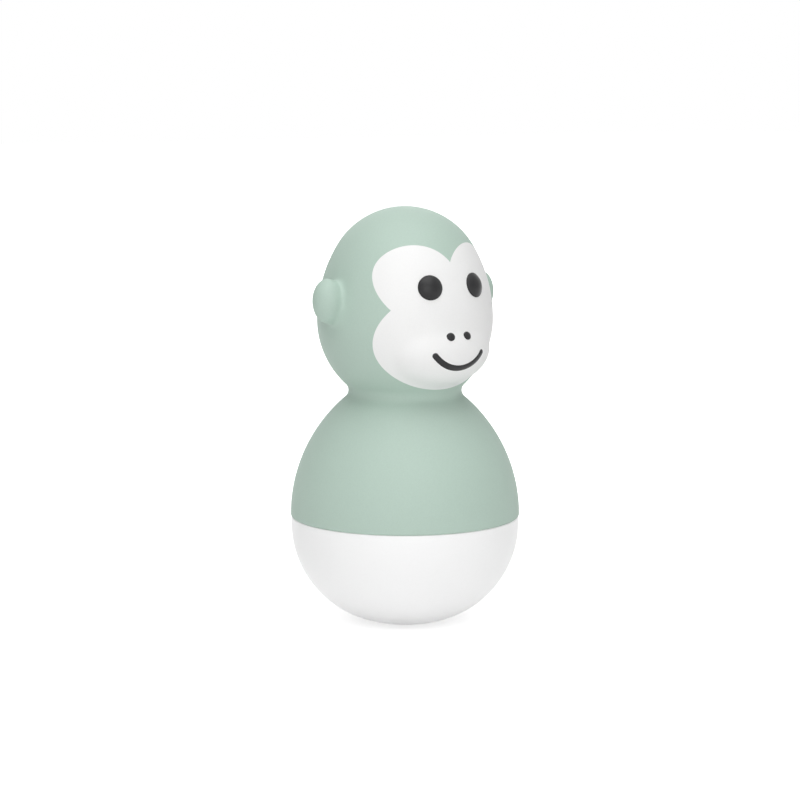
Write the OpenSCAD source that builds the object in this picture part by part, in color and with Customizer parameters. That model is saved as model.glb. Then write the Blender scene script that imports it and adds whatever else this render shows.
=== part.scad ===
// Roly poly toy: a soft-skinned monkey figure that rocks on a weighted round bowl
// Millimetres, +Z up, the face looks along -Y, origin in the middle of the flat the toy rests on

/* [Bowl] */
// Widest radius of the soft skin, at the seam
skin_r = 30; // [27:0.1:33]
// How far the bowl stands inside the skin at the seam
seam_step = 0.15; // [0.1:0.05:1]
// Depth of the bowl's rounded part below its upright band
bowl_depth = 26.4; // [23:0.1:28]
// How much longer the underside's radius is than the bowl's radius
bottom_more = 8.4; // [5:0.1:14]
// Height of the upright band under the seam
rim_h = 2.3; // [1:0.1:4]
// Radius of the flat that the toy rests on
pad_r = 4; // [2:0.1:6]
// Wall of the bowl
bowl_wall = 2.4; // [1.8:0.1:3]
// Rounding of the bowl's rim and of the skin's lower edge
edge_r = 0.3; // [0.1:0.05:0.8]

/* [Body and head] */
// Radius of the body's side curve
body_arc_r = 40.8; // [36:0.1:46]
// Radius of the pinched neck
neck_r = 14.8; // [13:0.1:17]
// Rounding of the pinched neck
neck_round = 2.4; // [1.5:0.1:4]
// Widest radius of the head
head_r = 22.9; // [21:0.1:26]
// How much tighter the crown is than the head
crown_set = 2.4; // [2:0.1:5]
// Rise from the head's widest height to the crown's centre
egg_rise = 8.8; // [6:0.1:11]

/* [Ears] */
// Height of the ears above the head's widest height
ear_rise = 6; // [2:0.1:10]
// Half height of an ear
ear_r = 5.9; // [4:0.1:7]
// Half depth of an ear from front to back
ear_deep = 4.1; // [3.5:0.1:6]
// Half thickness of an ear
ear_half = 4; // [3.5:0.1:5.5]
// How far an ear's middle stands out of the head
ear_out = 1.8; // [0:0.1:2.2]

/* [Face] */
// Sideways place of the brow lobes
lobe_x = 8.2; // [7:0.1:9]
// Height of the brow lobes above the head's widest height
lobe_rise = 10.5; // [9:0.1:11.5]
// Radius of the brow lobes
lobe_r = 9.9; // [8.5:0.1:10.5]
// Half width of the lower face
cheek_w = 19; // [17:0.1:20]
// Half height of the lower face
cheek_h = 13.8; // [12:0.1:14]
// Drop of the lower face below the head's widest height
cheek_drop = 3; // [2:0.1:4]
// Half width of the muzzle
muzzle_w = 15; // [13:0.1:16]
// Half depth of the muzzle
muzzle_d = 10; // [8:0.1:12]
// Half height of the muzzle
muzzle_h = 9.5; // [8:0.1:10.5]
// Drop of the muzzle's centre below the head's widest height
muzzle_drop = 6.5; // [5:0.1:7]
// How far the muzzle stands out beyond the head
muzzle_out = 2.4; // [1.5:0.1:3]

/* [Eyes nose and mouth] */
// Sideways place of the eyes
eye_x = 7; // [5:0.1:9]
// Height of the eyes above the head's widest height
eye_rise = 10; // [8:0.1:12]
// Radius of an eye
eye_r = 3.2; // [2.4:0.1:3.6]
// How far an eye's dome stands out
eye_dome = 1.3; // [0.5:0.1:2]
// Depth of the eye's seat in the face
eye_seat = 0.9; // [0.5:0.1:1.2]
// Radius of an eye's stem
stem_r = 1.2; // [0.8:0.1:1.6]
// How far the stem reaches beyond the core's wall
stem_over = 1.4; // [1:0.1:2]
// How far the barb stands out of the stem
barb = 0.35; // [0.1:0.05:0.6]
// Sideways place of the nostrils
nostril_x = 2.6; // [1.8:0.1:4]
// Height of the nostrils above the muzzle's centre
nostril_rise = 4.2; // [3:0.1:5]
// Radius of a nostril
nostril_r = 1.2; // [0.8:0.05:1.4]
// How far a nostril's dome stands out
nostril_dome = 0.4; // [0.1:0.05:0.8]
// Depth of the nostril's peg
nostril_peg = 2.2; // [1:0.1:3]
// Radius of the smile's curve
smile_r = 9.2; // [7:0.1:11]
// Height of the smile's centre above the muzzle's centre
smile_rise = 5.2; // [4:0.1:6]
// Half angle of the smile
smile_angle = 52; // [30:1:65]
// Width of the smile's line
smile_w = 1.5; // [1:0.05:2]
// Depth of the smile's groove
smile_depth = 0.8; // [0.4:0.05:1.2]
// How far the smile stands out of the muzzle
smile_out = 0.2; // [0.1:0.05:0.5]

/* [Skin and core] */
// Thickness of the soft skin and of the face panel
skin_t = 1.6; // [1.4:0.05:2]
// Thickness of the lip that the bowl pinches
lip_t = 1.2; // [0.8:0.1:2]
// Wall of the core
core_wall = 1.2; // [1:0.05:1.6]
// Wall between the spigot's outside and the core's widest radius
spigot_set = 1.5; // [1.2:0.05:1.8]
// Wall of the spigot
spigot_wall = 2.4; // [2:0.1:3]
// How far the spigot reaches below the seam
spigot_drop = 7; // [6:0.1:8]
// Height of the stiff ring above the lip
ring_h = 2.4; // [1.5:0.1:4]
// Drop of the seal groove's middle below the seam
seal_drop = 2.6; // [2:0.1:3]
// Height of the seal groove
seal_h = 1.9; // [1.5:0.1:2.4]
// Depth of the seal groove
seal_depth = 1.35; // [1:0.05:1.6]
// Radius of the seal cord before it is squeezed
cord_r = 0.82; // [0.74:0.02:0.9]
// Drop of the snap bead below the seam
bead_drop = 5.4; // [5:0.1:6]
// Radius of the snap bead
bead_r = 0.5; // [0.3:0.05:0.7]

/* [Ballast] */
// Thickness of the cushion under the weight
cushion_t = 1; // [0.6:0.1:1.6]
// Drop of the weight's top below the seam
weight_drop = 11.5; // [10.5:0.1:13]
// Free ring between the weight and the bowl's wall
weight_ring = 5.2; // [4:0.1:6.5]
// Rounding of the weight's top edge
weight_round = 0.8; // [0.3:0.1:1.5]
// Thickness of the clamp plate
clamp_t = 2; // [1.5:0.1:3]
// Width of the clamp plate's ribs
clamp_rib = 1.6; // [1.2:0.1:2.4]
// Height of the clamp plate's ribs
clamp_rib_h = 1.4; // [0.8:0.1:2]
// Radius of the hole in the clamp plate
clamp_hole_r = 5.5; // [3:0.1:7]
// How far the clamp screws stand inside the weight's edge
clamp_edge = 7; // [6:0.1:8]
// Number of clamp screws
clamp_count = 3; // [3:1:4]

/* [Screws] */
// Radius of a screw boss
boss_r = 2.7; // [2.3:0.1:3.2]
// Radius of a screw's shank
shank_r = 1.1; // [0.8:0.05:1.3]
// Radius of a screw's head
screw_head_r = 2.1; // [1.7:0.05:2.4]
// Height of a screw's head
screw_head_h = 1.4; // [1:0.1:2]
// Width of the cross slot in a screw's head
slot_w = 0.6; // [0.4:0.05:0.8]
// Depth of the cross slot in a screw's head
slot_d = 0.7; // [0.4:0.05:1]
// Length of the cross slot as a share of the head's width
slot_share = 0.62; // [0.4:0.02:0.8]
// Length of a clamp screw under its head
clamp_screw_l = 9; // [7:0.5:10]
// Length of a core screw under its head
core_screw_l = 11; // [9:0.5:13]
// Depth of boss left under a core screw's head
boss_floor = 5; // [3:0.5:6]
// Sideways place of the head's core screws
head_boss_x = 12; // [11:0.1:13]
// Drop of the head's core screws below the head's widest height
head_boss_drop = 3; // [1:0.1:5]
// Sideways place of the body's core screws
body_boss_x = 15; // [13:0.1:16]
// Height of the body's core screws above the seam
body_boss_rise = 16; // [13:0.1:18]

/* [Fits] */
// Play between spigot and bowl, each side
spigot_play = 0.05; // [0.02:0.01:0.15]
// Free depth below the spigot's end
spigot_end_play = 0.5; // [0.2:0.1:1]
// Play around the snap bead
bead_play = 0.05; // [0.02:0.01:0.15]
// Play around the bosses that pass through the weight
boss_play = 0.4; // [0.2:0.05:0.8]
// Play of the boss tops below the clamp plate
clamp_play = 0.15; // [0.05:0.05:0.3]
// Play around a screw's shank in a clear hole
shank_play = 0.15; // [0.1:0.05:0.3]
// Play around a screw's head in its sinking
head_play = 0.2; // [0.1:0.05:0.4]
// Free depth past a screw's point
point_play = 0.6; // [0.3:0.1:1]
// Crossing of neighbouring curves, so that they join cleanly
lap = 0.01; // [0.005:0.005:0.02]
// Overrun of cuts past the faces they cut
cut_over = 1; // [0.5:0.1:2]

/* [Hidden] */
$fn = 96;

// Bowl: the underside's curve and the side's curve meet without a corner
bowl_r = skin_r - seam_step;
bottom_r = bowl_r + bottom_more;
sag = bottom_r - sqrt(bottom_r * bottom_r - pad_r * pad_r);
bottom_c = [0, bottom_r - sag];
bottom_rise = bottom_c[1] - bowl_depth;
side_r = (bottom_r * bottom_r - bowl_r * bowl_r - bottom_rise * bottom_rise) / (2 * bottom_more);
side_c = [bowl_r - side_r, bowl_depth];
seam_z = bowl_depth + rim_h;
lip_z = seam_z + lip_t;

// Neck: a hollow round that meets the body's curve below and the head's curve above
body_c = [skin_r - body_arc_r, seam_z];
neck_body = body_arc_r + neck_round - lap;
neck_head = head_r + neck_round - lap;
neck_x = neck_r + neck_round;
neck_c = [neck_x, seam_z + sqrt(neck_body * neck_body - pow(neck_x - body_c[0], 2))];

// Head: a ball below, a tighter ball at the crown, and a long curve between them
head_z = neck_c[1] + sqrt(neck_head * neck_head - neck_x * neck_x);
head_c = [0, head_z];
crown_r = head_r - crown_set;
crown_c = [0, head_z + egg_rise];
egg_arc_r = head_r + (egg_rise * egg_rise - crown_set * crown_set) / (2 * crown_set);
egg_c = [head_r - egg_arc_r, head_z];
toy_h = crown_c[1] + crown_r;
reach = toy_h;

ear_z = head_z + ear_rise;
ear_x = egg_radius(ear_z);
lobe_z = head_z + lobe_rise;
cheek_z = head_z - cheek_drop;
muzzle_z = head_z - muzzle_drop;
muzzle_y = sqrt(head_r * head_r - muzzle_drop * muzzle_drop) + muzzle_out - muzzle_d;
eye_z = head_z + eye_rise;
eye_ring = egg_radius(eye_z);
eye_turn = asin(eye_x / eye_ring);
eye_tilt = asin((eye_z - head_z) / egg_arc_r);
nostril_y = muzzle_d * sqrt(1 - pow(nostril_x / muzzle_w, 2) - pow(nostril_rise / muzzle_h, 2));
nostril_turn = atan2(nostril_x / pow(muzzle_w, 2), nostril_y / pow(muzzle_d, 2));
nostril_tilt = atan2(nostril_rise / pow(muzzle_h, 2),
    norm([nostril_x / pow(muzzle_w, 2), nostril_y / pow(muzzle_d, 2)]));
smile_z = muzzle_z + smile_rise;

spigot_r = skin_r - skin_t - spigot_set;
spigot_in = spigot_r - spigot_wall;
spigot_z = seam_z - spigot_drop;
bore_r = spigot_r + spigot_play;
bore_z = spigot_z - spigot_end_play;
ring_z = lip_z + ring_h;
seal_z = seam_z - seal_drop;
seal_floor = spigot_r - seal_depth;
bead_z = seam_z - bead_drop;

weight_z = seam_z - weight_drop;
weight_r = bowl_r - bowl_wall - weight_ring;
clamp_r = weight_r - weight_round;
clamp_ring_r = weight_r - clamp_edge;
boss_top = weight_z - clamp_play;
clamp_step = 360 / clamp_count;
head_boss_z = head_z - head_boss_drop;
body_boss_z = seam_z + body_boss_rise;
core_bosses = [
    [head_boss_x, head_boss_z],
    [-head_boss_x, head_boss_z],
    [body_boss_x, body_boss_z],
    [-body_boss_x, body_boss_z]
];

// Radius of the upper head at a height
function egg_radius(z) = egg_c[0] + sqrt(egg_arc_r * egg_arc_r - (z - head_z) * (z - head_z));

// Height at radius r on the line through two points
function line_z(a, b, r) = a[1] + (b[1] - a[1]) * (r - a[0]) / (b[0] - a[0]);

// Radius at height z on the line through two points
function line_r(a, b, z) = a[0] + (b[0] - a[0]) * (z - a[1]) / (b[1] - a[1]);

// Radius of a ball whose cap has a given radius and height
function cap_ball(r, h) = (r * r + h * h) / (2 * h);

// Half section of the bowl's outer form, set in by a wall
module bowl_half(inset) {
    intersection() {
        square([reach, seam_z]);
        union() {
            translate(side_c)
                circle(r = side_r - inset);
            translate([0, bowl_depth])
                square([bowl_r - lap - inset, reach]);
            intersection() {
                translate(bottom_c)
                    circle(r = bottom_r - lap - inset);
                polygon([
                    bottom_c,
                    [line_r(bottom_c, side_c, -reach), -reach],
                    [-reach, -reach],
                    [-reach, bottom_c[1]]
                ]);
            }
        }
    }
}

// Half section of body, neck and head above a height, set in by a wall
module figure_half(inset, from_z) {
    intersection() {
        translate([0, from_z])
            square([reach, reach]);
        union() {
            translate(body_c)
                circle(r = body_arc_r - inset);
            translate(head_c)
                circle(r = head_r - inset);
            translate(crown_c)
                circle(r = crown_r - inset);
            intersection() {
                translate(egg_c)
                    circle(r = egg_arc_r - lap - inset);
                polygon([
                    [-reach, head_z],
                    [reach, head_z],
                    [reach, line_z(egg_c, crown_c, reach)],
                    crown_c,
                    [-reach, crown_c[1]]
                ]);
            }
            difference() {
                polygon([body_c, neck_c, head_c, [body_c[0], head_z]]);
                translate(neck_c)
                    circle(r = neck_round + inset);
            }
        }
    }
}

// Solid of revolution of the figure above the lip, set in by a wall
module figure_body(inset) {
    rotate_extrude()
        figure_half(inset, lip_z);
}

// Half section of the corner that rounds the skin's lower edge
module skin_corner() {
    centre = [body_c[0] + sqrt(pow(body_arc_r - edge_r, 2) - edge_r * edge_r), seam_z + edge_r];
    difference() {
        polygon([
            centre,
            [centre[0], seam_z - cut_over],
            [reach, seam_z - cut_over],
            [reach, line_z(body_c, centre, reach)]
        ]);
        translate(centre)
            circle(r = edge_r + lap);
    }
}

// Two lobes over the eyes and one broad oval below them, as seen from the front
module face_outline() {
    for (side = [-1, 1])
        translate([side * lobe_x, lobe_z])
            circle(r = lobe_r);
    translate([0, cheek_z])
        scale([1, cheek_h / cheek_w])
            circle(r = cheek_w);
}

// Front half of space inside the face's outline
module face_prism() {
    rotate([90, 0, 0])
        linear_extrude(height = reach)
            face_outline();
}

// Muzzle bulge, set in by a depth
module muzzle(inset) {
    translate([0, -muzzle_y, muzzle_z])
        scale([1, (muzzle_d - inset) / (muzzle_w - inset), (muzzle_h - inset) / (muzzle_w - inset)])
            sphere(r = muzzle_w - inset);
}

// Smile line as seen from the front
module smile_outline() {
    translate([0, smile_z]) {
        intersection() {
            difference() {
                circle(r = smile_r + smile_w / 2);
                circle(r = smile_r - smile_w / 2);
            }
            polygon([
                [0, 0],
                [-reach * sin(smile_angle), -reach * cos(smile_angle)],
                [reach * sin(smile_angle), -reach * cos(smile_angle)]
            ]);
        }
        for (side = [-1, 1])
            translate([side * smile_r * sin(smile_angle), -smile_r * cos(smile_angle)])
                circle(r = smile_w / 2 + lap);
    }
}

// Front prism of the smile line, from the muzzle's centre outward
module smile_prism() {
    translate([0, -muzzle_y, 0])
        rotate([90, 0, 0])
            linear_extrude(height = reach)
                smile_outline();
}

// Places an eye with its axis square to the head
module at_eye(side) {
    rotate([0, 0, side * eye_turn - 90])
        translate([eye_ring, 0, eye_z])
            rotate([0, 90 - eye_tilt, 0])
                children();
}

// Places a nostril with its axis square to the muzzle
module at_nostril(side) {
    translate([side * nostril_x, -muzzle_y - nostril_y, muzzle_z + nostril_rise])
        rotate([0, 0, side * nostril_turn - 90])
            rotate([0, 90 - nostril_tilt, 0])
                children();
}

// Domed button with a peg below it, on its own axis
module button(r, dome, seat) {
    ball = cap_ball(r, dome);
    rotate_extrude()
        intersection() {
            translate([0, dome - ball])
                circle(r = ball);
            square([r, dome]);
        }
    translate([0, 0, -seat])
        cylinder(r = r, h = seat);
}

// Eye with a barbed stem, on its own axis
module eye() {
    stem_end = -skin_t - core_wall - stem_over;
    button(eye_r, eye_dome, eye_seat);
    rotate_extrude()
        polygon([
            [0, stem_end],
            [stem_r, stem_end],
            [stem_r + barb, -skin_t - core_wall - barb],
            [stem_r, -skin_t - core_wall - barb],
            [stem_r, -eye_seat],
            [0, -eye_seat]
        ]);
}

// Hole that an eye's stem goes through
module eye_hole() {
    translate([0, 0, -skin_t - core_wall - stem_over])
        cylinder(r = stem_r, h = skin_t + core_wall + stem_over);
}

// Pan-head screw with its seat at zero and its point downward
module screw(length) {
    difference() {
        cylinder(r = screw_head_r, h = screw_head_h);
        for (turn = [0, 90])
            rotate([0, 0, turn])
                translate([-screw_head_r * slot_share, -slot_w / 2, screw_head_h - slot_d])
                    cube([2 * screw_head_r * slot_share, slot_w, slot_d + cut_over]);
    }
    rotate_extrude()
        polygon([[0, 0], [shank_r, 0], [shank_r, shank_r - length], [0, -length]]);
}

// Repeats around the ring of clamp screws
module around_clamp() {
    for (i = [0:clamp_count - 1])
        rotate([0, 0, i * clamp_step + 90])
            translate([clamp_ring_r, 0, 0])
                children();
}

// Half section of the core with its spigot
module core_half() {
    difference() {
        union() {
            difference() {
                figure_half(skin_t, lip_z);
                figure_half(skin_t + core_wall, ring_z);
                translate([0, lip_z - cut_over])
                    square([spigot_in, ring_h + cut_over]);
            }
            translate([spigot_in, spigot_z])
                square([spigot_wall, lip_z - spigot_z]);
            intersection() {
                translate([spigot_r, bead_z])
                    circle(r = bead_r);
                translate([spigot_in, spigot_z])
                    square([spigot_wall + bead_r, lip_z - spigot_z]);
            }
        }
        translate([seal_floor, seal_z - seal_h / 2])
            square([seal_depth + cut_over, seal_h]);
    }
}

// Half of the core, without bosses, behind or before the parting plane
module core_shell(turn) {
    rotate([0, 0, turn])
        rotate_extrude(angle = 180)
            core_half();
}

// Round posts at the core's screw places, from the parting plane back
module core_posts(r) {
    for (place = core_bosses)
        translate([place[0], 0, place[1]])
            rotate([-90, 0, 0])
                cylinder(r = r, h = reach);
}

module base_bowl() {
    color("white")
        difference() {
            union() {
                rotate_extrude()
                    difference() {
                        bowl_half(0);
                        bowl_half(bowl_wall);
                        translate([0, bore_z])
                            square([bore_r, reach]);
                        translate([bore_r, bead_z])
                            circle(r = bead_r + bead_play);
                        difference() {
                            translate([bowl_r - edge_r, seam_z - edge_r])
                                square([edge_r + cut_over, edge_r + cut_over]);
                            translate([bowl_r - edge_r, seam_z - edge_r])
                                circle(r = edge_r + lap);
                        }
                    }
                intersection() {
                    around_clamp()
                        cylinder(r = boss_r, h = boss_top);
                    rotate_extrude()
                        bowl_half(bowl_wall / 2);
                }
            }
            around_clamp()
                translate([0, 0, weight_z + clamp_t - clamp_screw_l - point_play])
                    cylinder(r = shank_r, h = clamp_screw_l + cut_over);
        }
}

module ballast_pad() {
    color("dimgray")
        difference() {
            rotate_extrude()
                intersection() {
                    difference() {
                        bowl_half(bowl_wall);
                        bowl_half(bowl_wall + cushion_t);
                    }
                    square([weight_r, weight_z]);
                }
            around_clamp()
                cylinder(r = boss_r + boss_play, h = reach);
        }
}

module ballast_weight() {
    color("gray")
        difference() {
            rotate_extrude()
                difference() {
                    intersection() {
                        bowl_half(bowl_wall + cushion_t);
                        square([weight_r, weight_z]);
                    }
                    difference() {
                        translate([weight_r - weight_round, weight_z - weight_round])
                            square([weight_round + cut_over, weight_round + cut_over]);
                        translate([weight_r - weight_round, weight_z - weight_round])
                            circle(r = weight_round + lap);
                    }
                }
            around_clamp()
                cylinder(r = boss_r + boss_play, h = reach);
        }
}

module ballast_clamp() {
    color("silver")
        difference() {
            rotate_extrude()
                translate([clamp_hole_r, weight_z]) {
                    square([clamp_r - clamp_hole_r, clamp_t]);
                    square([clamp_rib, clamp_t + clamp_rib_h]);
                    translate([clamp_r - clamp_hole_r - clamp_rib, 0])
                        square([clamp_rib, clamp_t + clamp_rib_h]);
                }
            around_clamp()
                cylinder(r = shank_r + shank_play, h = reach);
        }
}

module clamp_screws() {
    color("lightgray")
        around_clamp()
            translate([0, 0, weight_z + clamp_t])
                screw(clamp_screw_l);
}

module rim_seal() {
    color("black")
        rotate_extrude()
            intersection() {
                translate([(seal_floor + bore_r) / 2, seal_z])
                    circle(r = cord_r);
                translate([seal_floor, seal_z - seal_h / 2])
                    square([bore_r - seal_floor, seal_h]);
            }
}

module core_front() {
    color("ivory")
        difference() {
            union() {
                core_shell(180);
                intersection() {
                    rotate([0, 0, 180])
                        core_posts(boss_r);
                    figure_body(skin_t + core_wall / 2);
                }
            }
            translate([0, boss_floor - core_screw_l - point_play, 0])
                core_posts(shank_r);
            for (side = [-1, 1])
                at_eye(side)
                    eye_hole();
        }
}

module core_rear() {
    color("ivory")
        difference() {
            union() {
                core_shell(0);
                intersection() {
                    core_posts(boss_r);
                    figure_body(skin_t + core_wall / 2);
                }
            }
            translate([0, -cut_over, 0])
                core_posts(shank_r + shank_play);
            translate([0, boss_floor, 0])
                core_posts(screw_head_r + head_play);
        }
}

module core_screws() {
    color("lightgray")
        for (place = core_bosses)
            translate([place[0], boss_floor, place[1]])
                rotate([-90, 0, 0])
                    screw(core_screw_l);
}

module body_skin() {
    color("darkseagreen")
        difference() {
            union() {
                rotate_extrude()
                    difference() {
                        figure_half(0, seam_z);
                        figure_half(skin_t, lip_z);
                        translate([0, seam_z - cut_over])
                            square([spigot_r, lip_t + cut_over]);
                        skin_corner();
                    }
                difference() {
                    for (side = [-1, 1])
                        translate([side * ear_x, 0, ear_z])
                            rotate([0, side * 90, 0])
                                ear();
                    figure_body(skin_t / 2);
                }
            }
            face_prism();
        }
}

// Knob of an ear, taller than deep, on its own axis, with zero at the head's side
module ear() {
    translate([0, 0, ear_out])
        scale([1, ear_deep / ear_r, ear_half / ear_r])
            sphere(r = ear_r);
}

module face_panel() {
    color("whitesmoke")
        difference() {
            intersection() {
                face_prism();
                union() {
                    figure_body(0);
                    muzzle(0);
                }
            }
            figure_body(skin_t);
            difference() {
                smile_prism();
                muzzle(smile_depth);
            }
            for (side = [-1, 1]) {
                at_eye(side) {
                    translate([0, 0, -eye_seat])
                        cylinder(r = eye_r, h = eye_seat + cut_over);
                    eye_hole();
                }
                at_nostril(side)
                    translate([0, 0, -nostril_peg])
                        cylinder(r = nostril_r, h = nostril_peg + cut_over);
            }
        }
}

module eye_left() {
    color("black")
        at_eye(1)
            eye();
}

module eye_right() {
    color("black")
        at_eye(-1)
            eye();
}

module nostril_left() {
    color("black")
        at_nostril(1)
            button(nostril_r, nostril_dome, nostril_peg);
}

module nostril_right() {
    color("black")
        at_nostril(-1)
            button(nostril_r, nostril_dome, nostril_peg);
}

module smile_inlay() {
    color("black")
        intersection() {
            smile_prism();
            difference() {
                muzzle(-smile_out);
                muzzle(smile_depth);
            }
        }
}

base_bowl();
ballast_pad();
ballast_weight();
ballast_clamp();
clamp_screws();
rim_seal();
core_front();
core_rear();
core_screws();
body_skin();
face_panel();
eye_left();
eye_right();
nostril_left();
nostril_right();
smile_inlay();
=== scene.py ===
# %% [markdown]
# # A roly poly toy, dressed in Blender
# The toy is a soft figure on a weighted white bowl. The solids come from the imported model, which fixes
# every size and place. This lesson gives the pieces that show their finished form and their materials.

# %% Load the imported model
import bpy
import math
from mathutils import Matrix, Vector


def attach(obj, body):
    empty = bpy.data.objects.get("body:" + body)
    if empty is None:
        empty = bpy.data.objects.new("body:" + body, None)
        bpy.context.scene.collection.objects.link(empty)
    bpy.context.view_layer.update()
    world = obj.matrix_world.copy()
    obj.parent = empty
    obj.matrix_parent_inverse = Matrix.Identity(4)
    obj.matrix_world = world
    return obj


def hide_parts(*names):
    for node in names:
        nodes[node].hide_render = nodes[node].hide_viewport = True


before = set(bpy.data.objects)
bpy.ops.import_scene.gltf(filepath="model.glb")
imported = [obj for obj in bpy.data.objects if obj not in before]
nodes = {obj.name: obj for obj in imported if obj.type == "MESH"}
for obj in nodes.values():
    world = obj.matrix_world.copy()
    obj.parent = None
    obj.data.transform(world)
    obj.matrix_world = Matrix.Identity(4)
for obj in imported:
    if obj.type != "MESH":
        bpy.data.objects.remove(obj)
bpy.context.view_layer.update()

MM = 0.001
scene = bpy.context.scene
scene.view_settings.view_transform = "Standard"


# %% [markdown]
# ## Camera
# The picture was taken from a little above the toy's middle and from its right hand side. A camera could be
# placed by eye, but with its angles, distance and scale as numbers the frame can be matched closely. A long
# lens from 600 mm away gives the same mild perspective. It comes first, because every later look depends on it.

# %% Camera
AZIMUTH, ELEVATION = math.radians(-36), math.radians(8.37)
DISTANCE, MIDDLE = 600 * MM, Vector((0, 0, 55 * MM))
PIXELS_PER_MM, IMAGE, SENSOR = 3.823, 800, 36
TOY_RIGHT, TOY_DOWN = 5.0, 14.5  # pixels from the picture's middle to the toy's


def heading(turn, tilt):
    """A direction, turned from the toy's front by one angle and raised by another."""
    return Vector((math.sin(turn) * math.cos(tilt), -math.cos(turn) * math.cos(tilt), math.sin(tilt)))


back = heading(AZIMUTH, ELEVATION)
right = Vector((math.cos(AZIMUTH), math.sin(AZIMUTH), 0))
up = back.cross(right)
aim = MIDDLE - right * (TOY_RIGHT / PIXELS_PER_MM * MM) + up * (TOY_DOWN / PIXELS_PER_MM * MM)
bpy.ops.object.camera_add(location=MIDDLE + back * DISTANCE)
camera = bpy.context.object
camera.rotation_euler = (aim - camera.location).to_track_quat("-Z", "Y").to_euler()
camera.data.sensor_width = SENSOR
camera.data.lens = PIXELS_PER_MM * DISTANCE / MM * SENSOR / IMAGE
scene.camera = camera
print("lens:", round(camera.data.lens, 2), "mm")

# %% [markdown]
# ## Drawing a profile
# Every round piece starts as a half section. One point is drawn along straight lines with Extrude and along
# arcs with Spin, and a Screw modifier turns the finished line once round. A ball or a cylinder could be pushed
# into shape instead, but then the arcs would be guesses. Drawn this way, they stay true.

# %% Drawing helpers
WELD = 0.0005 * MM
pen = Vector((0, 0))


def put_down_pen(name, r, z):
    """Starts a profile: a small plane merged to one point, at radius r and height z in mm."""
    bpy.ops.object.select_all(action="DESELECT")
    bpy.ops.mesh.primitive_plane_add(size=MM)
    piece = bpy.context.object
    piece.name = piece.data.name = name
    bpy.ops.object.mode_set(mode="EDIT")
    bpy.ops.mesh.select_all(action="SELECT")
    bpy.ops.mesh.merge(type="CENTER")
    bpy.ops.transform.translate(value=(r * MM, 0, z * MM))
    pen[:] = (r, z)
    return piece


def line_to(r, z):
    """Extrudes the last point along a straight line."""
    step = ((r - pen[0]) * MM, 0, (z - pen[1]) * MM)
    bpy.ops.mesh.extrude_region_move(TRANSFORM_OT_translate={"value": step})
    pen[:] = (r, z)


def arc_to(r, z, centre, steps):
    """Spins the last point about a centre to a new place, the short way round."""
    start = pen - Vector(centre)
    end = Vector((r, z)) - Vector(centre)
    turn = math.atan2(start.x * end.y - start.y * end.x, start.dot(end))
    bpy.ops.mesh.spin(
        steps=steps, angle=turn, center=(centre[0] * MM, 0, centre[1] * MM), axis=(0, 1, 0)
    )
    pen[:] = (r, z)


def close_seams():
    """Merges doubled points, turns the faces outwards and leaves edit mode."""
    bpy.ops.mesh.select_all(action="SELECT")
    bpy.ops.mesh.remove_doubles(threshold=WELD)
    bpy.ops.mesh.normals_make_consistent(inside=False)
    bpy.ops.object.mode_set(mode="OBJECT")


def spin_round(piece, steps):
    """Turns the drawn profile once round the Z axis and closes its seam and poles."""
    bpy.ops.object.mode_set(mode="OBJECT")
    screw = piece.modifiers.new("once round", "SCREW")
    screw.steps = screw.render_steps = steps
    screw.use_merge_vertices = True
    screw.merge_threshold = WELD
    bpy.ops.object.modifier_apply(modifier=screw.name)
    bpy.ops.object.mode_set(mode="EDIT")
    close_seams()
    print(piece.name, "faces:", len(piece.data.polygons))


def touch(a, b, reach):
    """The point at a distance from a, on the line from a through b: where arcs about a and b meet."""
    return a + (b - a).normalized() * reach


def pick(piece, *others):
    """Selects these pieces alone and makes the first one active."""
    bpy.ops.object.select_all(action="DESELECT")
    for chosen in (piece, *others):
        chosen.select_set(True)
    bpy.context.view_layer.objects.active = piece


def smooth_shade(piece, degrees):
    """Shades smoothly across every edge that is blunter than an angle."""
    pick(piece)
    bpy.ops.object.shade_smooth_by_angle(angle=math.radians(degrees))


# %% [markdown]
# ## The bowl
# The lower half is one thick moulded bowl with a small flat to stand on. Its outside is a wide arc underneath
# and a tighter arc up the side, and the rim ends in a small round where the soft skin sits on it. Half a ball
# would be quicker, but it would miss the flatter underside, so outside and inside are drawn as one profile.

# %% Bowl
SEAM, BOWL_R, BOWL_DEPTH, BOWL_WALL = 28.7, 29.85, 26.4, 2.4
BOTTOM_R, REST_R, EDGE = 38.25, 4.0, 0.3
BORE_R, BORE_FLOOR = 26.95, 21.2

under = Vector((0, math.sqrt(BOTTOM_R**2 - REST_R**2)))
rise = under.y - BOWL_DEPTH
side_r = (BOTTOM_R**2 - BOWL_R**2 - rise**2) / (2 * (BOTTOM_R - BOWL_R))
side = Vector((BOWL_R - side_r, BOWL_DEPTH))
inner_r = side.x + math.sqrt((side_r - BOWL_WALL) ** 2 - (BOWL_DEPTH - BORE_FLOOR) ** 2)

bowl = put_down_pen("bowl", 0, 0)
line_to(REST_R, 0)
arc_to(*touch(under, side, BOTTOM_R), under, steps=24)
arc_to(BOWL_R, BOWL_DEPTH, side, steps=48)
line_to(BOWL_R, SEAM - EDGE)
arc_to(BOWL_R - EDGE, SEAM, (BOWL_R - EDGE, SEAM - EDGE), steps=6)
line_to(BORE_R, SEAM)
line_to(BORE_R, BORE_FLOOR)
line_to(inner_r, BORE_FLOOR)
arc_to(*touch(under, side, BOTTOM_R - BOWL_WALL), side, steps=24)
arc_to(0, under.y - BOTTOM_R + BOWL_WALL, under, steps=16)
spin_round(bowl, steps=192)
smooth_shade(bowl, degrees=40)

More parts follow.
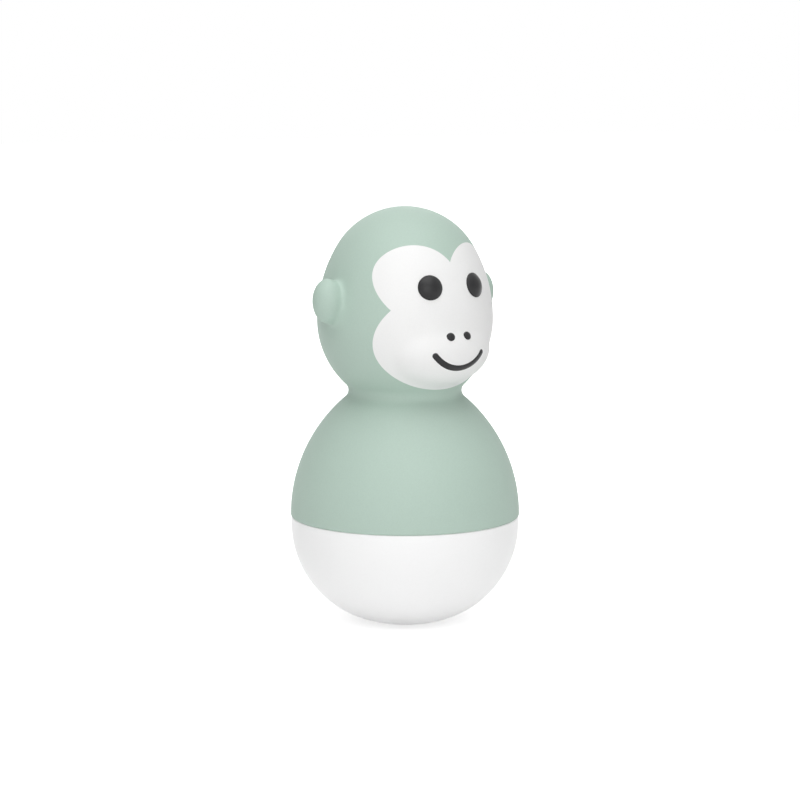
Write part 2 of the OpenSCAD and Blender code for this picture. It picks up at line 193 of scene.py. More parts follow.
# %% [markdown]
# ## The figure's form
# Skin and face share one outer form: a tall shoulder curve, a pinched neck and an egg of a head. It is drawn
# once and very finely, a little longer at its foot than the skin, and the softer shapes are then set on it.
# Two balls melted together would be softer than the toy, whose neck is a tight, even round.

# %% Figure form
SKIN_R, SHOULDER_R, NECK_R, NECK_ROUND = 30.0, 40.8, 14.8, 2.4
HEAD_R, CROWN_R, EGG_RISE = 22.9, 20.5, 8.8
LAP, FOOT = 0.01, 3.0  # the arcs overlap by a hair, and the foot is trimmed off later

shoulder = Vector((SKIN_R - SHOULDER_R, SEAM))
neck_x = NECK_R + NECK_ROUND
neck_rise = math.sqrt((SHOULDER_R + NECK_ROUND - LAP) ** 2 - (neck_x - shoulder.x) ** 2)
neck = Vector((neck_x, SEAM + neck_rise))
head = Vector((0, neck.y + math.sqrt((HEAD_R + NECK_ROUND - LAP) ** 2 - neck_x**2)))
crown = head + Vector((0, EGG_RISE))
crown_set = HEAD_R - CROWN_R
EGG_R = HEAD_R + (EGG_RISE**2 - crown_set**2) / (2 * crown_set)
egg = Vector((HEAD_R - EGG_R, head.y))
TOP = crown.y + CROWN_R


def draw_figure(inset, fineness):
    """Draws shoulder, neck, head and crown, set in by a wall; the pen stands at the shoulder's foot."""
    arc_to(*touch(shoulder, neck, SHOULDER_R - inset), shoulder, steps=12 * fineness)
    arc_to(*touch(head, neck, HEAD_R - inset), neck, steps=5 * fineness)
    arc_to(HEAD_R - inset, head.y, head, steps=8 * fineness)
    arc_to(*touch(egg, crown, EGG_R - inset), egg, steps=9 * fineness)
    arc_to(0, TOP - inset, crown, steps=9 * fineness)


foot_r = shoulder.x + math.sqrt(SHOULDER_R**2 - FOOT**2)
form = put_down_pen("form", 0, SEAM - FOOT)
line_to(foot_r, SEAM - FOOT)
draw_figure(inset=0, fineness=8)
spin_round(form, steps=720)
print("head at", round(head.y, 2), "top at", round(TOP, 2))

# %% [markdown]
# ## Ears
# The ears are knobs, taller than deep, that grow out of the head in the same moulding. They could be pulled
# out of the head's own faces, but that would stretch them. A ball squashed to size keeps the knob even, and it
# is joined to the head in the next steps.

# %% Ears
EAR_RISE, EAR_R, EAR_DEEP, EAR_HALF, EAR_OUT = 6.0, 5.9, 4.1, 4.0, 1.8

ear_z = head.y + EAR_RISE
ear_x = egg.x + math.sqrt(EGG_R**2 - EAR_RISE**2) + EAR_OUT


def ball(name, place, radius, shape):
    """A ball squashed to shape, with its place and size in its mesh."""
    bpy.ops.object.select_all(action="DESELECT")
    bpy.ops.mesh.primitive_uv_sphere_add(
        segments=96, ring_count=48, radius=radius * MM, location=[c * MM for c in place]
    )
    piece = bpy.context.object
    piece.name = name
    piece.scale = shape
    bpy.ops.object.transform_apply(location=True, rotation=True, scale=True)
    return piece


ear_shape = (EAR_HALF / EAR_R, EAR_DEEP / EAR_R, 1)
ears = [ball("ear", (sign * ear_x, 0, ear_z), EAR_R, ear_shape) for sign in (-1, 1)]
print("ears reach", round(max(v.co.x for v in ears[1].data.vertices) / MM, 2), "mm")

# %% [markdown]
# ## Muzzle
# The muzzle is a low oval swelling of the face. It is a squashed ball too. Boolean could add ears and muzzle to
# the form, but it leaves long thin faces along the joins, which smooth badly. A voxel Remesh makes one skin of
# small even faces instead.

# %% Muzzle and one skin
MUZZLE_W, MUZZLE_D, MUZZLE_H, MUZZLE_DROP, MUZZLE_OUT = 15.0, 10.0, 9.5, 6.5, 2.4
VOXEL = 0.5

muzzle_z = head.y - MUZZLE_DROP
muzzle_y = math.sqrt(HEAD_R**2 - MUZZLE_DROP**2) + MUZZLE_OUT - MUZZLE_D
muzzle_shape = (1, MUZZLE_D / MUZZLE_W, MUZZLE_H / MUZZLE_W)
muzzle = ball("muzzle", (0, -muzzle_y, muzzle_z), MUZZLE_W, muzzle_shape)
pick(form)
bpy.ops.object.duplicate()
figure = bpy.context.object
figure.name = "figure"
pick(figure, *ears, muzzle)
bpy.ops.object.join()
remesh = figure.modifiers.new("one skin", "REMESH")
remesh.mode = "VOXEL"
remesh.voxel_size = VOXEL * MM
bpy.ops.object.modifier_apply(modifier=remesh.name)
print("figure faces:", len(figure.data.polygons))

# %% [markdown]
# ## Melting the joins
# On the moulded toy, ears and muzzle flow softly into the head. Bevel needs a clean edge to follow, and the
# remeshed skin has none. So Smooth melts the skin near each join, by vertex groups that fade out, and
# Shrinkwrap lays all the rest back on the true form.


# %% Melting the joins
EAR_FADE, MUZZLE_FADE = (1.3, 2.3), (1.15, 1.5)  # from full to none, in the swelling's own half sizes
EAR_REPEATS, MUZZLE_REPEATS = 24, 50


def fade(value, near, far):
    """1 up to near, 0 from far on, and a smooth step between."""
    t = min(max((value - near) / (far - near), 0), 1)
    return 1 - t * t * (3 - 2 * t)


def zone(name, weigh):
    """A vertex group whose weight comes from a point's place in mm."""
    group = figure.vertex_groups.new(name=name)
    for vertex in figure.data.vertices:
        weight = weigh(vertex.co / MM)
        if weight > 0:
            group.add([vertex.index], weight, "REPLACE")


def near_ear(p):
    """How much a point belongs to an ear and its join."""
    q = Vector(((abs(p.x) - ear_x) / EAR_HALF, p.y / EAR_DEEP, (p.z - ear_z) / EAR_R))
    return fade(q.length, *EAR_FADE)


def near_muzzle(p):
    """How much a point belongs to the muzzle and its join."""
    q = Vector((p.x / MUZZLE_W, (p.y + muzzle_y) / MUZZLE_D, (p.z - muzzle_z) / MUZZLE_H))
    return fade(q.length, *MUZZLE_FADE) if p.y < 0 else 0


zone("ear_joins", near_ear)
zone("muzzle_join", near_muzzle)
zone("plain", lambda p: 1 - max(near_ear(p), near_muzzle(p)))
for group, repeats in (("ear_joins", EAR_REPEATS), ("muzzle_join", MUZZLE_REPEATS)):
    smooth = figure.modifiers.new(group, "SMOOTH")
    smooth.factor = 0.5
    smooth.iterations = repeats
    smooth.vertex_group = group
wrap = figure.modifiers.new("true form", "SHRINKWRAP")
wrap.target = form
wrap.vertex_group = "plain"
for modifier in list(figure.modifiers):
    bpy.ops.object.modifier_apply(modifier=modifier.name)
bpy.data.objects.remove(form)
print("figure size:", [round(c / MM, 2) for c in figure.dimensions])

# %% [markdown]
# ## The skin's lower edge
# The skin ends in a flat lip on the bowl's rim, with a small round at its outer corner. Bevel would stumble
# over the uneven faces there. So Bisect trims the foot off and lays a few rings above the cut, and each ring
# is drawn in to follow the round.

# %% Lower edge
EDGE_RINGS = (0.4, 0.25, 0.12, 0.03)

bpy.ops.object.mode_set(mode="EDIT")
bpy.ops.mesh.select_all(action="SELECT")
bpy.ops.mesh.bisect(
    plane_co=(0, 0, SEAM * MM), plane_no=(0, 0, 1), use_fill=True, clear_inner=True
)
for height in EDGE_RINGS:
    bpy.ops.mesh.select_all(action="SELECT")
    bpy.ops.mesh.bisect(plane_co=(0, 0, (SEAM + height) * MM), plane_no=(0, 0, 1))
bpy.ops.object.mode_set(mode="OBJECT")
for vertex in figure.data.vertices:
    lift = vertex.co.z / MM - SEAM
    if lift < EDGE:
        draw_in = EDGE - math.sqrt(max(EDGE**2 - (EDGE - max(lift, 0)) ** 2, 0))
        radius = vertex.co.xy.length / MM
        vertex.co.xy *= (radius - draw_in) / radius
print("figure after trim:", len(figure.data.polygons))

# %% [markdown]
# ## Hollow inside
# Skin and face are thin soft walls over a hard core. Solidify would give the wall too, but it would also hollow
# the ears. So the same profile, set in by the wall, is spun as a plug and cut away inside.

# %% Hollow inside
SKIN_T, LIP_T, SPIGOT_R = 1.6, 1.2, 26.9


def combine(piece, tool, operation):
    """Adds, cuts or keeps what lies in a tool, and throws the tool away."""
    modifier = piece.modifiers.new(operation, "BOOLEAN")
    modifier.operation = operation
    modifier.object = tool
    modifier.solver = "MANIFOLD"
    bpy.context.view_layer.objects.active = piece
    bpy.ops.object.modifier_apply(modifier=modifier.name)
    bpy.data.objects.remove(tool)


lip_z = SEAM + LIP_T
hollow = put_down_pen("hollow", 0, SEAM - FOOT)
line_to(SPIGOT_R, SEAM - FOOT)
line_to(SPIGOT_R, lip_z)
line_to(shoulder.x + math.sqrt((SHOULDER_R - SKIN_T) ** 2 - LIP_T**2), lip_z)
draw_figure(inset=SKIN_T, fineness=2)
spin_round(hollow, steps=128)
combine(figure, hollow, "DIFFERENCE")
print("hollow figure:", len(figure.data.polygons))

# %% [markdown]
# ## The face opening
# Seen from the front, the pale face is two brow lobes over one broad oval. A painted mask could show that, but
# on the toy the face is a piece of its own. Three round bars make the outline, and Bevel rounds the notches
# between them. What lies in the bars is the face, and the rest is the skin, so the two fit exactly.

# %% Outline of the face
LOBE_X, LOBE_RISE, LOBE_R = 8.2, 10.5, 9.9
CHEEK_W, CHEEK_H, CHEEK_DROP = 19.0, 13.8, 3.0
BAR, NOTCH_R, NOTCH_ANGLE = 40.0, 1.2, math.radians(15)


def bar(name, x, z, radius, shape):
    """A round bar that runs forward from the toy's middle plane."""
    bpy.ops.object.select_all(action="DESELECT")
    bpy.ops.mesh.primitive_cylinder_add(
        vertices=200, radius=radius * MM, depth=BAR * MM,
        location=(x * MM, -BAR / 2 * MM, z * MM), rotation=(math.pi / 2, 0, 0)
    )
    piece = bpy.context.object
    piece.name = name
    bpy.ops.object.transform_apply(location=False, rotation=True, scale=True)
    piece.scale = shape
    bpy.ops.object.transform_apply(location=True, rotation=True, scale=True)
    return piece


outline = bar("outline", 0, head.y - CHEEK_DROP, CHEEK_W, (1, 1, CHEEK_H / CHEEK_W))
for sign in (-1, 1):
    lobe = bar("lobe", sign * LOBE_X, head.y + LOBE_RISE, LOBE_R, (1, 1, 1))
    combine(outline, lobe, "UNION")
pick(outline)
bpy.ops.object.mode_set(mode="EDIT")
bpy.ops.mesh.select_all(action="DESELECT")
bpy.ops.mesh.select_mode(type="EDGE")
bpy.ops.mesh.edges_select_sharp(sharpness=NOTCH_ANGLE)
bpy.ops.object.mode_set(mode="OBJECT")
corners = outline.data.vertices
for edge in outline.data.edges:
    a, b = (corners[i].co for i in edge.vertices)
    edge.select = edge.select and abs(a.y - b.y) > BAR / 2 * MM
print("notches:", sum(edge.select for edge in outline.data.edges))
bpy.ops.object.mode_set(mode="EDIT")
bpy.ops.mesh.bevel(offset=NOTCH_R * MM, segments=8)
bpy.ops.mesh.select_mode(type="VERT")
bpy.ops.object.mode_set(mode="OBJECT")

# %% Face and skin
pick(figure, outline)
bpy.ops.object.duplicate()
face, face_tool = bpy.data.objects["figure.001"], bpy.data.objects["outline.001"]
skin = figure
face.name, skin.name = "face", "skin"
combine(face, face_tool, "INTERSECT")
combine(skin, outline, "DIFFERENCE")
for piece in (skin, face):
    smooth_shade(piece, degrees=35)
    print(piece.name, "faces:", len(piece.data.polygons))

# %% [markdown]
# ## Eyes and nostrils
# Each is a domed rubber button pressed into the face, square to the surface. A cut ball would do from the
# front, but it has no peg and no clean rim. So one button is drawn and spun about the Z axis, and its finished
# mesh is turned and moved to its seat.

# %% Buttons
EYE_X, EYE_RISE, EYE_R, EYE_DOME, EYE_SEAT = 7.0, 10.0, 3.2, 1.3, 0.9
NOSTRIL_X, NOSTRIL_RISE, NOSTRIL_R, NOSTRIL_DOME, NOSTRIL_PEG = 2.6, 4.2, 1.2, 0.4, 2.2


def button(name, radius, dome, depth, place):
    """A domed button on a straight peg, laid at a place."""
    arch = (radius**2 + dome**2) / (2 * dome)
    piece = put_down_pen(name, 0, -depth)
    line_to(radius, -depth)
    line_to(radius, 0)
    arc_to(0, dome, (0, dome - arch), steps=24)
    spin_round(piece, steps=96)
    piece.matrix_world = place
    bpy.ops.object.transform_apply(location=True, rotation=True, scale=True)
    smooth_shade(piece, degrees=50)
    return piece


def turned(turn, tilt, x, y, z):
    """A place in mm whose axis is turned from the front by one angle and raised by another."""
    facing = heading(turn, tilt).to_track_quat("Z", "Y").to_matrix().to_4x4()
    return Matrix.Translation(Vector((x, y, z)) * MM) @ facing


eye_z = head.y + EYE_RISE
eye_ring = egg.x + math.sqrt(EGG_R**2 - EYE_RISE**2)
eye_turn, eye_tilt = math.asin(EYE_X / eye_ring), math.asin(EYE_RISE / EGG_R)
nostril_y = MUZZLE_D * math.sqrt(1 - (NOSTRIL_X / MUZZLE_W) ** 2 - (NOSTRIL_RISE / MUZZLE_H) ** 2)
slope = Vector((NOSTRIL_X / MUZZLE_W**2, nostril_y / MUZZLE_D**2, NOSTRIL_RISE / MUZZLE_H**2))
nostril_turn, nostril_tilt = math.atan2(slope.x, slope.y), math.atan2(slope.z, slope.xy.length)
buttons = {}
for word, sign in (("left", 1), ("right", -1)):
    at_eye = turned(
        sign * eye_turn, eye_tilt, sign * EYE_X, -eye_ring * math.cos(eye_turn), eye_z
    )
    buttons["eye_" + word] = button("button_eye_" + word, EYE_R, EYE_DOME, EYE_SEAT, at_eye)
    at_nostril = turned(
        sign * nostril_turn, nostril_tilt,
        sign * NOSTRIL_X, -muzzle_y - nostril_y, muzzle_z + NOSTRIL_RISE
    )
    buttons["nostril_" + word] = button(
        "button_nostril_" + word, NOSTRIL_R, NOSTRIL_DOME, NOSTRIL_PEG, at_nostril
    )

# %% [markdown]
# ## The smile
# A low rubber bead lies in a groove of the muzzle. A bevelled curve would be round all the way, but the bead is
# flat underneath with a low arched top. So half of its section is spun into a blunt end, the whole section is
# spun along the smile, and the far end is spun shut. All of that is done lying flat.

# %% Smile
SMILE_R, SMILE_RISE, SMILE_ANGLE = 9.2, 5.2, math.radians(52)
SMILE_W, SMILE_DEPTH, SMILE_OUT = 1.5, 0.8, 0.2
HAIR = 0.001  # how near to a line a point counts as on it, in mm

half = SMILE_W / 2
arch = (half**2 + SMILE_OUT**2) / (2 * SMILE_OUT)


def spin_part(wanted, centre, angle, steps):
    """Spins the points that a test picks about an upright axis; Spin itself turns clockwise."""
    bpy.ops.object.mode_set(mode="OBJECT")
    for part in (smile.data.polygons, smile.data.edges, smile.data.vertices):
        part.foreach_set("select", [False] * len(part))
    for vertex in smile.data.vertices:
        vertex.select = wanted(vertex.co / MM)
    bpy.ops.object.mode_set(mode="EDIT")
    bpy.ops.mesh.select_mode(type="VERT")
    bpy.ops.mesh.spin(steps=steps, angle=-angle, center=[c * MM for c in centre], axis=(0, 0, 1))


smile = put_down_pen("smile", SMILE_R, -SMILE_DEPTH)
line_to(SMILE_R + half, -SMILE_DEPTH)
line_to(SMILE_R + half, 0)
arc_to(SMILE_R, SMILE_OUT, (SMILE_R, SMILE_OUT - arch), steps=8)
spin_part(lambda p: True, (SMILE_R, 0, 0), -math.pi, steps=24)
spin_part(lambda p: abs(p.y) < HAIR, (0, 0, 0), 2 * SMILE_ANGLE, steps=64)
far = Matrix.Rotation(2 * SMILE_ANGLE, 3, "Z")
spin_part(
    lambda p: abs(p.dot(far @ Vector((0, 1, 0)))) < HAIR and p.xy.length > SMILE_R - HAIR,
    far @ Vector((SMILE_R, 0, 0)), math.pi, steps=24
)
close_seams()
print("smile faces:", len(smile.data.polygons), "size:", [round(c / MM, 2) for c in smile.dimensions])

# %% [markdown]
# The bead is then stood up in front of the face, and every point is set back to where a ray meets the muzzle.
# Shrinkwrap would flatten the bead on the face. This way it keeps its own thickness.

# %% Stand the smile up and lay it on the muzzle
smile_z = muzzle_z + SMILE_RISE
stand = Matrix(((0, 1, 0), (0, 0, -1), (-1, 0, 0))) @ Matrix.Rotation(-SMILE_ANGLE, 3, "Z")
for vertex in smile.data.vertices:
    place = stand @ vertex.co + Vector((0, 0, smile_z * MM))
    _, spot, _, _ = face.ray_cast(Vector((place.x, -1, place.z)), Vector((0, 1, 0)))
    vertex.co = Vector((place.x, place.y + spot.y, place.z))
smooth_shade(smile, degrees=50)
print("smile reaches forward to", round(min(v.co.y for v in smile.data.vertices) / MM, 2), "mm")

# %% [markdown]
# ## Shared surface effects
# Moulded silicone and plastic are never one flat tone. Each material could have its own noise, but the effect
# is the same on all. So one node group mixes two close tones with slow clouds, adds a fine grain, and puts out
# colour, roughness and height.

# %% Moulded surface
FLOAT, COLOUR = "NodeSocketFloat", "NodeSocketColor"
MIX_A, MIX_B, MIXED = 6, 7, 2  # colour sockets of a Mix node
FROM_LOW, FROM_HIGH, TO_LOW, TO_HIGH = 1, 2, 3, 4  # sockets of a Map Range node


def new_group(name, inputs, outputs):
    """An empty shader group with named sockets, its links, and its own input and output nodes."""
    group = bpy.data.node_groups.new(name, "ShaderNodeTree")
    for word, kind, value in inputs:
        group.interface.new_socket(name=word, in_out="INPUT", socket_type=kind).default_value = value
    for word, kind in outputs:
        group.interface.new_socket(name=word, in_out="OUTPUT", socket_type=kind)
    ends = group.nodes.new("NodeGroupInput"), group.nodes.new("NodeGroupOutput")
    return group, group.links.new, *ends


def add_node(tree, kind, values=(), **settings):
    """Adds one node, sets its properties, and gives its sockets their values by number or name."""
    made = tree.nodes.new(kind)
    for word, value in settings.items():
        setattr(made, word, value)
    for socket, value in dict(values).items():
        made.inputs[socket].default_value = value
    return made


moulded, link, given, result = new_group(
    "moulded_surface",
    [("Tone A", COLOUR, (1, 1, 1, 1)), ("Tone B", COLOUR, (1, 1, 1, 1)), ("Cloud Scale", FLOAT, 90),
     ("Grain Scale", FLOAT, 3000), ("Speckle", FLOAT, 0.05), ("Rough Low", FLOAT, 0.4),
     ("Rough High", FLOAT, 0.6)],
    [("Colour", COLOUR), ("Roughness", FLOAT), ("Height", FLOAT)],
)
where = add_node(moulded, "ShaderNodeTexCoord")
cloud = add_node(moulded, "ShaderNodeTexNoise", {"Detail": 3})
grain = add_node(moulded, "ShaderNodeTexNoise", {"Detail": 2})
tone = add_node(moulded, "ShaderNodeMix", data_type="RGBA")
centred = add_node(moulded, "ShaderNodeMath", {1: 0.5}, operation="SUBTRACT")
speck = add_node(moulded, "ShaderNodeMath", {2: 1.0}, operation="MULTIPLY_ADD")
colour = add_node(moulded, "ShaderNodeVectorMath", operation="SCALE")
rough = add_node(moulded, "ShaderNodeMapRange", {FROM_LOW: 0.3, FROM_HIGH: 0.7})
for noise, scale in ((cloud, "Cloud Scale"), (grain, "Grain Scale")):
    link(where.outputs["Object"], noise.inputs["Vector"])
    link(given.outputs[scale], noise.inputs["Scale"])
link(cloud.outputs[0], tone.inputs[0])
link(given.outputs["Tone A"], tone.inputs[MIX_A])
link(given.outputs["Tone B"], tone.inputs[MIX_B])
link(grain.outputs[0], centred.inputs[0])
link(centred.outputs[0], speck.inputs[0])
link(given.outputs["Speckle"], speck.inputs[1])
link(tone.outputs[MIXED], colour.inputs[0])
link(speck.outputs[0], colour.inputs["Scale"])
link(cloud.outputs[0], rough.inputs[0])
link(given.outputs["Rough Low"], rough.inputs[TO_LOW])
link(given.outputs["Rough High"], rough.inputs[TO_HIGH])
link(colour.outputs[0], result.inputs["Colour"])
link(rough.outputs[0], result.inputs["Roughness"])
link(grain.outputs[0], result.inputs["Height"])
print("group:", moulded.name, len(moulded.nodes), "nodes")

# %% [markdown]
# Handling and standing leave a worn band where skin meets bowl and round the resting flat. A painted mask would
# need UVs. A second group finds the band by height instead, and breaks it up with noise.

# %% Worn band
worn, link, given, result = new_group(
    "worn_band",
    [("Height", FLOAT, 0.0), ("Width", FLOAT, 0.001), ("Scale", FLOAT, 800), ("Amount", FLOAT, 0.5)],
    [("Mask", FLOAT)],
)
where = add_node(worn, "ShaderNodeTexCoord")
axes = add_node(worn, "ShaderNodeSeparateXYZ")
away = add_node(worn, "ShaderNodeMath", operation="SUBTRACT")
size = add_node(worn, "ShaderNodeMath", operation="ABSOLUTE")
share = add_node(worn, "ShaderNodeMath", operation="DIVIDE")
near = add_node(
    worn, "ShaderNodeMapRange", {FROM_LOW: 1.0, FROM_HIGH: 0.0}, interpolation_type="SMOOTHSTEP"
)
noise = add_node(worn, "ShaderNodeTexNoise", {"Detail": 4, "Roughness": 0.6})
patch = add_node(worn, "ShaderNodeMapRange", {FROM_LOW: 0.45, FROM_HIGH: 0.7})
both = add_node(worn, "ShaderNodeMath", operation="MULTIPLY")
mask = add_node(worn, "ShaderNodeMath", operation="MULTIPLY")
link(where.outputs["Object"], axes.inputs[0])
link(where.outputs["Object"], noise.inputs["Vector"])
link(given.outputs["Scale"], noise.inputs["Scale"])
link(axes.outputs["Z"], away.inputs[0])
link(given.outputs["Height"], away.inputs[1])
link(away.outputs[0], size.inputs[0])
link(size.outputs[0], share.inputs[0])
link(given.outputs["Width"], share.inputs[1])
link(share.outputs[0], near.inputs[0])
link(noise.outputs[0], patch.inputs[0])
link(near.outputs[0], both.inputs[0])
link(patch.outputs[0], both.inputs[1])
link(both.outputs[0], mask.inputs[0])
link(given.outputs["Amount"], mask.inputs[1])
link(mask.outputs[0], result.inputs["Mask"])
print("group:", worn.name, len(worn.nodes), "nodes")

# %% [markdown]
# ## Materials
# Each finish places the moulded group with its own tones and scales, and a Bump node turns the grain into a
# surface. Where a band is worn, its mask shifts the colour and the roughness a little. One function makes them
# all, because the finishes differ only in their values.


# %% Finish maker
def finish(name, tones, clouds, grains, speckle, roughness, bump, band=None, plain=()):
    """Makes one material.

    tones and roughness go from low to high, clouds and grains are noise scales, and bump is a depth in mm.
    band is a worn ring's height and width in mm, its amount and its tone. plain sets sockets of the shader.
    """
    material = bpy.data.materials.new(name)
    material.use_nodes = True
    tree = material.node_tree
    link = tree.links.new
    shader = tree.nodes["Principled BSDF"]
    for word, value in dict(plain).items():
        shader.inputs[word].default_value = value
    values = {
        "Tone A": (*tones[0], 1), "Tone B": (*tones[1], 1), "Cloud Scale": clouds, "Grain Scale": grains,
        "Speckle": speckle, "Rough Low": roughness[0], "Rough High": roughness[1],
    }
    surface = add_node(tree, "ShaderNodeGroup", values, node_tree=moulded)
    dents = add_node(tree, "ShaderNodeBump", {"Strength": 1.0, "Distance": bump * MM})
    link(surface.outputs["Height"], dents.inputs["Height"])
    link(dents.outputs["Normal"], shader.inputs["Normal"])
    colour, rough = surface.outputs["Colour"], surface.outputs["Roughness"]
    if band:
        height, width, amount, tint = band
        values = {"Height": height * MM, "Width": width * MM, "Amount": amount}
        marks = add_node(tree, "ShaderNodeGroup", values, node_tree=worn)
        tinted = add_node(tree, "ShaderNodeMix", {MIX_B: (*tint, 1)}, data_type="RGBA")
        rougher = add_node(tree, "ShaderNodeMath", operation="ADD")
        link(marks.outputs["Mask"], tinted.inputs[0])
        link(colour, tinted.inputs[MIX_A])
        link(rough, rougher.inputs[0])
        link(marks.outputs["Mask"], rougher.inputs[1])
        colour, rough = tinted.outputs[MIXED], rougher.outputs[0]
    link(colour, shader.inputs["Base Color"])
    link(rough, shader.inputs["Roughness"])
    return material


# %% [markdown]
# The skin is matte sage silicone, the face the same silicone in white. The bowl is smoother white plastic with
# faint scuffs round its resting flat. The features are black rubber with a soft shine.

# %% Finishes that show
sage = finish(
    "sage_silicone", ((0.436, 0.561, 0.489), (0.454, 0.579, 0.507)), clouds=70, grains=2600,
    speckle=0.10, roughness=(0.56, 0.66), bump=0.012, band=(SEAM, 0.8, 0.25, (0.36, 0.47, 0.41))
)
pale = finish(
    "white_silicone", ((0.85, 0.85, 0.845), (0.88, 0.88, 0.875)), clouds=80, grains=2600,
    speckle=0.05, roughness=(0.52, 0.62), bump=0.010
)
bowl_white = finish(
    "white_plastic", ((0.93, 0.93, 0.93), (0.95, 0.95, 0.95)), clouds=60, grains=1400,
    speckle=0.03, roughness=(0.30, 0.38), bump=0.004, band=(0.0, 2.5, 0.35, (0.68, 0.67, 0.65))
)
black = finish(
    "black_rubber", ((0.016, 0.016, 0.017), (0.024, 0.024, 0.025)), clouds=300, grains=3200,
    speckle=0.3, roughness=(0.34, 0.44), bump=0.008, plain={"Specular IOR Level": 0.25}
)
print("finishes:", [m.name for m in (sage, pale, bowl_white, black)])

# %% [markdown]
# Inside, nothing shows while the toy is whole. The pieces still get the finish that they would have when it is
# taken apart: ivory core halves, a turned steel weight, a grey clamp, rubber pad and seal, and plated screws.
# Their solids have the right shape already, so they stay and only change material.

# %% Finishes inside
core_ivory = finish(
    "core_ivory", ((0.70, 0.68, 0.61), (0.74, 0.72, 0.66)), clouds=50, grains=1800,
    speckle=0.06, roughness=(0.45, 0.6), bump=0.01
)
weight_steel = finish(
    "weight_steel", ((0.38, 0.38, 0.39), (0.47, 0.47, 0.48)), clouds=120, grains=2400,
    speckle=0.15, roughness=(0.32, 0.5), bump=0.01, plain={"Metallic": 1.0}
)
pad_rubber = finish(
    "pad_rubber", ((0.10, 0.10, 0.105), (0.14, 0.14, 0.145)), clouds=200, grains=1500,
    speckle=0.4, roughness=(0.7, 0.85), bump=0.03
)
clamp_plastic = finish(
    "clamp_plastic", ((0.38, 0.39, 0.40), (0.43, 0.44, 0.45)), clouds=70, grains=2000,
    speckle=0.08, roughness=(0.5, 0.62), bump=0.01
)
screw_plated = finish(
    "screw_plated", ((0.52, 0.52, 0.53), (0.60, 0.60, 0.61)), clouds=500, grains=4000,
    speckle=0.1, roughness=(0.2, 0.34), bump=0.004, plain={"Metallic": 1.0}
)
seal_rubber = finish(
    "seal_rubber", ((0.022, 0.022, 0.022), (0.034, 0.034, 0.034)), clouds=300, grains=3000,
    speckle=0.3, roughness=(0.42, 0.55), bump=0.01
)


def wear(piece, material):
    """Gives a piece one material in place of what it has."""
    piece.data.materials.clear()
    piece.data.materials.append(material)


inner = {
    "core_front": core_ivory, "core_rear": core_ivory, "core_screws": screw_plated, "rim_seal": seal_rubber,
    "ballast_weight": weight_steel, "ballast_pad": pad_rubber, "ballast_clamp": clamp_plastic,
    "clamp_screws": screw_plated,
}
for word, material in inner.items():
    wear(nodes[word], material)
print("inner pieces:", sorted(inner))

# %% [markdown]
# ## Taking the solids' place
# Each new piece rides on the toy's one body, stands for its solid and wears its finish; its row's slot name
# goes unused.

# %% Replace the solids
dressed = [
    (bowl, "base_bowl", "bowl_white", bowl_white),
    (skin, "body_skin", "skin_green", sage),
    (face, "face_panel", "face_white", pale),
    (smile, "smile_inlay", "feature_black", black),
] + [(piece, word, "feature_black", black) for word, piece in buttons.items()]
for piece, word, slot, material in dressed:
    wear(piece, material)
    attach(piece, "root")
    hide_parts(word)
print("pieces:", [piece.name for piece, *_ in dressed])

# %% [markdown]
# ## Floor and world
# The toy stands in front of plain white, as on a lit table. More light would turn a backdrop white, but it
# would fall on the toy as well. So floor and world are white only for what the camera sees, also in gloss and
# through glass, and they light the toy far less. The floor's glow is weaker round the toy, which keeps its
# shadow.

# %% Floor and world
FLOOR, PAPER = 8, 0.9  # width in metres, and how pale the paper is
SHADE_TO, WHITE_FROM, SHADE_GLOW = 0.15, 0.5, 0.6  # distances from the toy in metres, and the glow near it
FLOOR_LIGHT, WORLD_LIGHT = 0.05, 0.2


def seen_directly(tree, otherwise):
    """A node with strength 1 for what the camera sees, also in gloss and through glass, or else another."""
    path = add_node(tree, "ShaderNodeLightPath")
    direct = add_node(tree, "ShaderNodeMath", operation="MAXIMUM")
    shown = add_node(tree, "ShaderNodeMath", operation="MAXIMUM")
    level = add_node(tree, "ShaderNodeMapRange", {TO_LOW: otherwise, TO_HIGH: 1.0})
    tree.links.new(path.outputs["Is Camera Ray"], direct.inputs[0])
    tree.links.new(path.outputs["Is Glossy Ray"], direct.inputs[1])
    tree.links.new(direct.outputs[0], shown.inputs[0])
    tree.links.new(path.outputs["Is Transmission Ray"], shown.inputs[1])
    tree.links.new(shown.outputs[0], level.inputs[0])
    return level


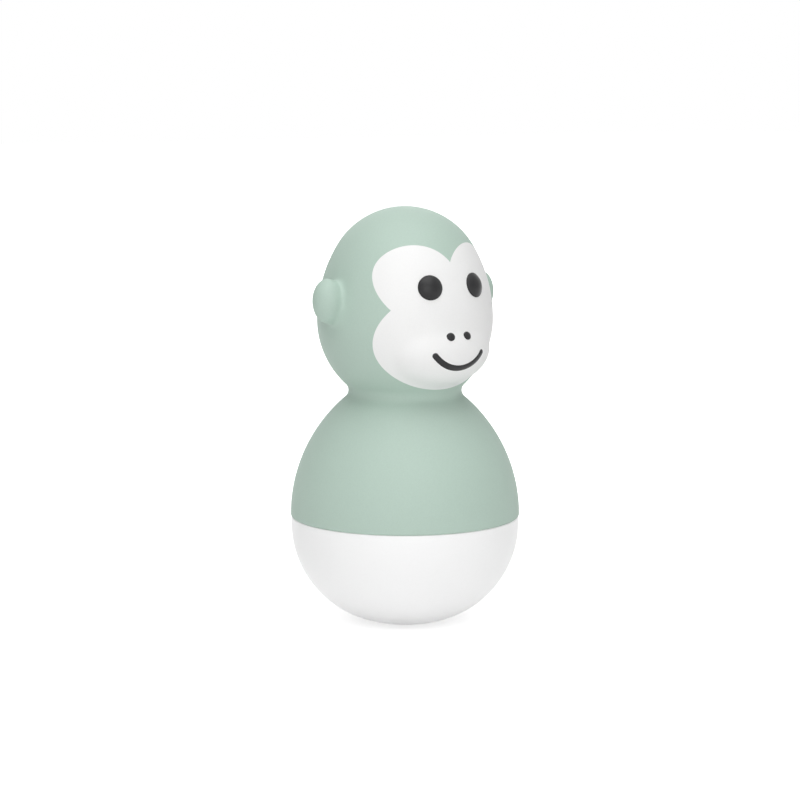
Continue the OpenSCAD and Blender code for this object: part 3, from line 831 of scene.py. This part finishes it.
bpy.ops.object.select_all(action="DESELECT")
bpy.ops.mesh.primitive_plane_add(size=FLOOR)
floor = bpy.context.object
floor.name = "floor"
paper = bpy.data.materials.new("paper")
paper.use_nodes = True
tree = paper.node_tree
shader = tree.nodes["Principled BSDF"]
shader.inputs["Base Color"].default_value = (PAPER, PAPER, PAPER, 1)
shader.inputs["Roughness"].default_value = 0.9
shader.inputs["Specular IOR Level"].default_value = 0.0
shader.inputs["Emission Color"].default_value = (1, 1, 1, 1)
place = add_node(tree, "ShaderNodeTexCoord")
away = add_node(tree, "ShaderNodeVectorMath", operation="LENGTH")
whiter = add_node(
    tree, "ShaderNodeMapRange",
    {FROM_LOW: SHADE_TO, FROM_HIGH: WHITE_FROM, TO_LOW: SHADE_GLOW, TO_HIGH: 1.0}
)
tree.links.new(place.outputs["Object"], away.inputs[0])
tree.links.new(away.outputs["Value"], whiter.inputs[0])
glow = seen_directly(tree, FLOOR_LIGHT)
tree.links.new(whiter.outputs[0], glow.inputs[TO_HIGH])
tree.links.new(glow.outputs[0], shader.inputs["Emission Strength"])
floor.data.materials.append(paper)

world = bpy.data.worlds.new("studio")
scene.world = world
world.use_nodes = True
tree = world.node_tree
sky = tree.nodes["Background"]
tree.links.new(seen_directly(tree, WORLD_LIGHT).outputs[0], sky.inputs["Strength"])
sky.inputs["Color"].default_value = (1, 1, 1, 1)
print("floor:", FLOOR, "m, world:", world.name)

# %% [markdown]
# ## Lamps
# A broad lamp above shapes head, neck and shoulders, a weaker one near the camera fills the front, and a third
# keeps the back from going dark. One strong lamp would leave hard shadows. Large soft ones show the matte skin
# as it is, and their power stays low enough that the whites keep their shading.


# %% Lamps
def lamp(name, azimuth, elevation, distance, size, power):
    """A square soft lamp that looks at the toy's middle: degrees from the front, metres and watts."""
    away = heading(math.radians(azimuth), math.radians(elevation))
    bpy.ops.object.light_add(type="AREA", location=MIDDLE + away * distance)
    made = bpy.context.object
    made.name = name
    made.rotation_euler = (-away).to_track_quat("-Z", "Y").to_euler()
    made.data.size = size
    made.data.energy = power


lamp("front_lamp", azimuth=-33, elevation=16, distance=1.6, size=1.3, power=10.5)
lamp("top_lamp", azimuth=-40, elevation=76, distance=1.5, size=1.5, power=17)
lamp("back_lamp", azimuth=150, elevation=35, distance=1.6, size=1.3, power=4)
